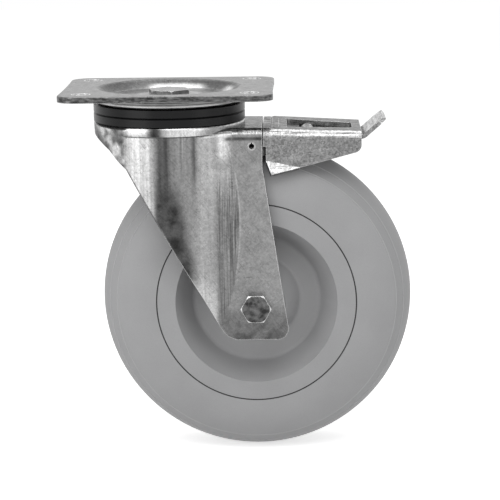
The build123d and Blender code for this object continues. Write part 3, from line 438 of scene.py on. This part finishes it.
def moulded(name, colour, roughness, grain=0.02 * MM, vary=0.06, shine=0.5):
    """Moulded plastic or rubber: faint clouding and a fine grain."""
    m = Material(name, 0.0, roughness)
    m.shader.inputs["Specular IOR Level"].default_value = shine
    cloud = m.noise(35, 3)
    fine = m.noise(1800, 2)
    low = tuple(c * (1 - vary) for c in colour)
    high = tuple(min(c * (1 + vary), 1) for c in colour)
    base = m.ramp(cloud, [(0.3, low), (0.7, high)])
    base = m.mix(base, m.ramp(fine, [(0.35, 0.93), (0.65, 1.0)]), 0.7, "MULTIPLY")
    m.colour(base)
    m.rough(m.ramp(cloud, [(0.3, roughness - 0.05), (0.7, roughness + 0.05)]))
    m.bump([(fine, grain), (cloud, 0.05 * MM)])
    return m.data


def steel(name, tone, roughness):
    """Plain turned or hardened steel, for balls, rollers and the spring."""
    m = Material(name, 1.0, roughness)
    fine = m.noise(900, 2)
    m.colour(m.ramp(fine, [(0.3, tone * 0.9), (0.7, tone)]))
    m.rough(m.ramp(fine, [(0.3, roughness * 0.8), (0.7, roughness * 1.2)]))
    return m.data


MATERIALS = {
    "plate": zinc("zinc_plate", 0.28, 0.33, (0, 0, 8), 0.8, zones=plate_painted_light_and_edge, spangle=0.25),
    "fork": zinc("zinc_fork", 0.38, 0.30, (0, -35, 0), 0.6, zones=fork_painted_light_and_marks, fold=fork_folds,
                 edge_wear_and_highlight_tone=fork_edge_tone_and_highlight, wear_and_painted_light=0.85, spangle=0.22),
    "pedal": zinc("zinc_pedal", 0.46, 0.34, (0, -8, 0), 1.2, zones=pedal_painted_light, spangle=0.45),
    "kingpin": zinc("zinc_kingpin", 0.30, 0.30, (0, 0, 40), 0.9, 0.25 * MM, wear_and_painted_light=0.9),
    "fixing": zinc("zinc_fixing", 0.50, 0.32, (0, 0, 0), 0.7, 0.25 * MM),
    "head": zinc("zinc_head", 0.50, 0.32, (0, 0, 0), 0.7, 0.25 * MM, head_highlight_and_worn_face, wear_and_painted_light=1.0),
    "spring": steel("spring_steel", 0.30, 0.45),
    "bearing": steel("bearing_steel", 0.80, 0.12),
    "cage": moulded("cage_plastic", (0.03, 0.03, 0.032), 0.5),
    "seal": moulded("seal_plastic", (0.004, 0.004, 0.0045), 0.30, shine=0.25),
    "hub": moulded("hub_plastic", (0.345, 0.345, 0.35), 0.48, 0.015 * MM, 0.03),
    "cap": moulded("cap_plastic", (0.25, 0.25, 0.255), 0.5),
    "tyre": moulded("tyre_rubber", (0.350, 0.350, 0.355), 0.55, 0.03 * MM, 0.04),
    "pad": moulded("pad_rubber", (0.02, 0.02, 0.02), 0.7),
    # the mould rings are lighter than the tyre: a painted highlight along their ridges
    "tyre_line": moulded("tyre_mould_line_highlight", (0.42, 0.42, 0.425), 0.5, 0.01 * MM, 0.03),
    # lighter zinc than the plate's, painted light so the flank under the plate reads as lit
    "flank": zinc("zinc_flank_painted_light", 0.62, 0.42, (0, 0, 90), 0.5),
}
FINISHES = {
    "plate": ["top_plate"],
    "fork": ["fork"],
    "pedal": ["brake_pedal", "release_lever", "brake_bracket", "lock_tongue", "brake_shoe",
              "swivel_lock_ring", "lower_race_cup"],
    "kingpin": ["kingpin"],
    "fixing": ["kingpin_nut", "kingpin_washer", "kingpin_sleeve", "axle_tube",
               "brake_pins", "lever_pin", "tongue_rivets", "spring_rivet"],
    "head": ["axle_bolt", "axle_nut"],
    "spring": ["pedal_spring"],
    "bearing": ["upper_balls", "lower_balls", "bearing_rollers"],
    "cage": ["bearing_cage"],
    "seal": ["seal_ring"],
    "hub": ["wheel_hub"],
    "cap": ["hub_caps"],
    "tyre": ["tyre"],
    "pad": ["brake_pad"],
}


for finish, names in FINISHES.items():
    for name in names:
        nodes[name].data.materials.clear()
        nodes[name].data.materials.append(MATERIALS[finish])


# ---------------------------------------------------------------- small added pieces
AXLE = Vector((0.055, 0, -0.136))
ON_AXLE = Matrix.Translation(AXLE) @ Matrix.Rotation(math.radians(90), 4, "X")
CROWN_RADIUS = 33.0  # section radius of the rounded tread, in mm
CROWN_CENTRE_R = 67.0  # how far from the axle the centre of that section lies
MOULD_RING_RADII = (89.6, 94.5)
MOULD_RING_SIZE = 0.35
MOULD_RING_SINK = 0.10  # how deep the rings' middles lie under the tread
BEAD_GROOVE_R = 63.9  # where the tyre meets the rim
BEAD_GROOVE_Y = 30.35
BEAD_GROOVE_SIZE = 0.5
THREAD_TURNS = ((4.95, 52.75), (4.60, 53.35))  # radius and place of the last two, in mm
THREAD_SIZE = 0.22
THREAD_STEPS = 48
# sections as (radius, height) in mm about the swivel axis
DISH_FLANK = [(40.5, -9.55), (44.6, -9.55), (46.0, -9.0), (46.4, -8.2), (46.1, -7.5),
              (46.9, -6.9), (47.2, -6.0), (48.3, -4.9), (50.2, -4.1), (50.2, -3.9),
              (46.5, -3.9), (44.0, -6.5)]
CUP_SHOULDER = [(43.5, -20.62), (47.2, -20.66), (48.1, -21.0), (48.5, -21.9), (48.55, -23.2),
                (48.45, -25.2), (48.36, -26.5), (47.9, -26.6), (46.0, -23.5)]


def add_piece(name, mesh, finish, body):
    mesh.materials.append(MATERIALS[finish])
    piece = bpy.data.objects.new(name, mesh)
    bpy.context.scene.collection.objects.link(piece)
    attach(piece, body)


def turned(name, loops, finish, body, place=Matrix(), steps=160):
    """Closed sections of (radius, height) in mm, each swept round the Z axis of place."""
    mesh = bpy.data.meshes.new(name)
    shape = bmesh.new()
    for loop in loops:
        rows = []
        for k in range(steps):
            turn = 2 * math.pi * k / steps
            rows.append([shape.verts.new(place @ Vector((
                r * MM * math.cos(turn), r * MM * math.sin(turn), h * MM))) for r, h in loop])
        for k in range(steps):
            here, there = rows[k], rows[(k + 1) % steps]
            for i in range(len(loop)):
                j = (i + 1) % len(loop)
                shape.faces.new((here[i], there[i], there[j], here[j])).smooth = True
    bmesh.ops.recalc_face_normals(shape, faces=shape.faces)
    shape.to_mesh(mesh)
    shape.free()
    add_piece(name, mesh, finish, body)


def bead(r, h, size):
    """A small round section, as a ring's cross-section."""
    return [(r + size * math.cos(a), h + size * math.sin(a))
            for a in [math.pi * k / 4 for k in range(8)]]


def tread_half_width(r):
    """Half of the tyre's width at a radius on its rounded tread, in mm."""
    return math.sqrt(CROWN_RADIUS**2 - (r - CROWN_CENTRE_R) ** 2)


def pedal_front():
    """The pedal's sheet carried forward to just short of the channel, above the joint."""
    half_width, top, foot = 33.53, -23.66, -35.0
    fold_r, wall = 5.5, 2.8
    front_x, back_x = 60.4, 65.0
    bend_steps = 10

    def side(inset):
        """Half of the sheet's outer line, or of its inner one with inset as the wall."""
        reach = fold_r - inset
        bend = []
        for k in range(bend_steps + 1):
            a = math.pi / 2 * k / bend_steps
            bend.append((half_width - fold_r + reach * math.sin(a),
                         top - fold_r + reach * math.cos(a)))
        return [(0, top - inset)] + bend + [(half_width - inset, foot)]

    outline = side(0.0) + side(wall)[::-1]
    loops = [outline, [(-y, z) for y, z in outline]]
    mesh = bpy.data.meshes.new("pedal_front")
    shape = bmesh.new()
    for loop in loops:
        ends = [[shape.verts.new((x * MM, y * MM, z * MM)) for y, z in loop]
                for x in (front_x, back_x)]
        count = len(loop)
        for i in range(count):
            j = (i + 1) % count
            shape.faces.new((ends[0][i], ends[0][j], ends[1][j], ends[1][i]))
        for i in range(count // 2 - 1):
            for row in ends:
                shape.faces.new((row[i], row[i + 1], row[count - 2 - i], row[count - 1 - i]))
    bmesh.ops.remove_doubles(shape, verts=shape.verts, dist=1e-6)
    bmesh.ops.recalc_face_normals(shape, faces=shape.faces)
    shape.to_mesh(mesh)
    shape.free()
    add_piece("pedal_front", mesh, "pedal", "brake")


# the rolled flank of the pressed dish, seen between the plate and the sealing ring, in a lighter
# zinc than the plate's as painted light against the shade there
turned("dish_flank", [DISH_FLANK], "flank", "plate")
# raised mould rings on the tyre's sides, in a lighter rubber as a painted highlight
rings = [bead(r, side * (tread_half_width(r) - MOULD_RING_SINK), MOULD_RING_SIZE)
         for r in MOULD_RING_RADII for side in (-1, 1)]
turned("tyre_mould_rings", rings, "tyre_line", "wheel", ON_AXLE)
# black rings laid in the groove where the tyre meets the rim: painted shade in the groove
groove_shade_rings = [bead(BEAD_GROOVE_R, side * BEAD_GROOVE_Y, BEAD_GROOVE_SIZE) for side in (-1, 1)]
turned("tyre_groove_painted_shade", groove_shade_rings, "pad", "wheel", ON_AXLE)
# the last turns of the axle bolt's thread, past its nut
threads = [bead(r, -h, THREAD_SIZE) for r, h in THREAD_TURNS]
turned("axle_thread", threads, "fixing", "fork", ON_AXLE, THREAD_STEPS)
# the cup's shoulder, drawn tight under the ring
turned("cup_shoulder", [CUP_SHOULDER], "fork", "fork")
pedal_front()


# ---------------------------------------------------------------- stage, light and camera
FLOOR_Z = -0.236
CAMERA_AT = Vector((0.0784, -1.2528, 0.1404))
CAMERA_TO = Vector((0.0506, 0.0013, -0.1078))
CAMERA_ROLL = math.radians(-0.77)
LENS = 141.12  # on a 36 mm sensor
FLOOR_VEIL = 0.62  # white added to the floor where the camera sees it; its shadow stays
FLOOR_HALF_SIZE = 4.0
WORLD_LIGHT = 0.42  # strength of the even light on the part; the camera sees it as 1
LAMPS = {  # name: where it is, what it points at, its size in metres, and its watts
    "key": ((-1.0, -1.0, 0.2), (0.0, 0, -0.05), (0.9, 0.8), 4.5),
    "fill": ((1.2, -0.9, 0.25), (0.03, 0, -0.1), (0.6, 0.8), 2),
    "front": ((-0.1, -0.8, 0.95), (0.03, 0, -0.05), (1.5, 0.7), 7),
    "top": ((0.05, 0.4, 1.3), (0.03, 0, -0.1), (1.2, 1.0), 5),
}


def make_floor():
    """A white floor that keeps the part's shadow and shows as white in gloss."""
    mesh = bpy.data.meshes.new("floor")
    half = FLOOR_HALF_SIZE
    corners = [(-half, -half), (half, -half), (half, half), (-half, half)]
    mesh.from_pydata([(x, y, FLOOR_Z) for x, y in corners], [], [(0, 1, 2, 3)])
    floor = bpy.data.objects.new("floor", mesh)
    bpy.context.scene.collection.objects.link(floor)
    m = Material("floor_white", 0.0, 0.9)
    path = m.add("ShaderNodeLightPath")
    glow = m.add("ShaderNodeEmission")
    glow.inputs["Strength"].default_value = 1.0
    m.shader.inputs["Base Color"].default_value = (0.92, 0.92, 0.92, 1)
    m.shader.inputs["Specular IOR Level"].default_value = 0.0
    seen = m.math("MAXIMUM", path.outputs["Is Glossy Ray"], path.outputs["Is Transmission Ray"])
    blend = m.add("ShaderNodeMixShader")
    m.link(seen, blend.inputs[0])
    m.link(m.shader.outputs[0], blend.inputs[1])
    m.link(glow.outputs[0], blend.inputs[2])
    veil = m.add("ShaderNodeEmission")
    m.link(m.math("MULTIPLY", path.outputs["Is Camera Ray"], FLOOR_VEIL), veil.inputs["Strength"])
    both = m.add("ShaderNodeAddShader")
    m.link(blend.outputs[0], both.inputs[0])
    m.link(veil.outputs[0], both.inputs[1])
    # from underneath the floor is clear, so the part can be looked at from below
    under = m.add("ShaderNodeMixShader")
    m.link(m.add("ShaderNodeNewGeometry").outputs["Backfacing"], under.inputs[0])
    m.link(both.outputs[0], under.inputs[1])
    m.link(m.add("ShaderNodeBsdfTransparent").outputs[0], under.inputs[2])
    m.link(under.outputs[0], m.tree.nodes["Material Output"].inputs["Surface"])
    mesh.materials.append(m.data)


def make_world():
    """White where the camera, gloss or glass sees it, and a softer light elsewhere."""
    world = bpy.data.worlds.new("studio")
    bpy.context.scene.world = world
    world.use_nodes = True
    tree = world.node_tree
    background = tree.nodes["Background"]
    background.inputs["Color"].default_value = (1, 1, 1, 1)
    path = tree.nodes.new("ShaderNodeLightPath")
    seen = path.outputs["Is Camera Ray"]
    for kind in ("Is Glossy Ray", "Is Transmission Ray"):
        either = tree.nodes.new("ShaderNodeMath")
        either.operation = "MAXIMUM"
        tree.links.new(seen, either.inputs[0])
        tree.links.new(path.outputs[kind], either.inputs[1])
        seen = either.outputs[0]
    strength = tree.nodes.new("ShaderNodeMapRange")
    strength.inputs["To Min"].default_value = WORLD_LIGHT
    strength.inputs["To Max"].default_value = 1.0
    tree.links.new(seen, strength.inputs["Value"])
    tree.links.new(strength.outputs[0], background.inputs["Strength"])


def make_lamp(name, at, aim, size, watts):
    light = bpy.data.lights.new(name, "AREA")
    light.shape = "RECTANGLE"
    light.size, light.size_y = size
    light.energy = watts
    lamp = bpy.data.objects.new(name, light)
    lamp.location = at
    lamp.rotation_euler = (Vector(aim) - Vector(at)).to_track_quat("-Z", "Y").to_euler()
    bpy.context.scene.collection.objects.link(lamp)


def make_camera():
    data = bpy.data.cameras.new("camera")
    data.lens = LENS
    data.sensor_width = 36.0
    data.clip_start = 0.05
    camera = bpy.data.objects.new("camera", data)
    camera.location = CAMERA_AT
    turn = (CAMERA_TO - CAMERA_AT).to_track_quat("-Z", "Y").to_matrix().to_4x4()
    camera.rotation_euler = (turn @ Matrix.Rotation(CAMERA_ROLL, 4, "Z")).to_euler()
    bpy.context.scene.collection.objects.link(camera)
    bpy.context.scene.camera = camera


make_floor()
make_world()
for name, (at, aim, size, watts) in LAMPS.items():
    make_lamp(name, at, aim, size, watts)
make_camera()
bpy.context.scene.view_settings.view_transform = "Standard"
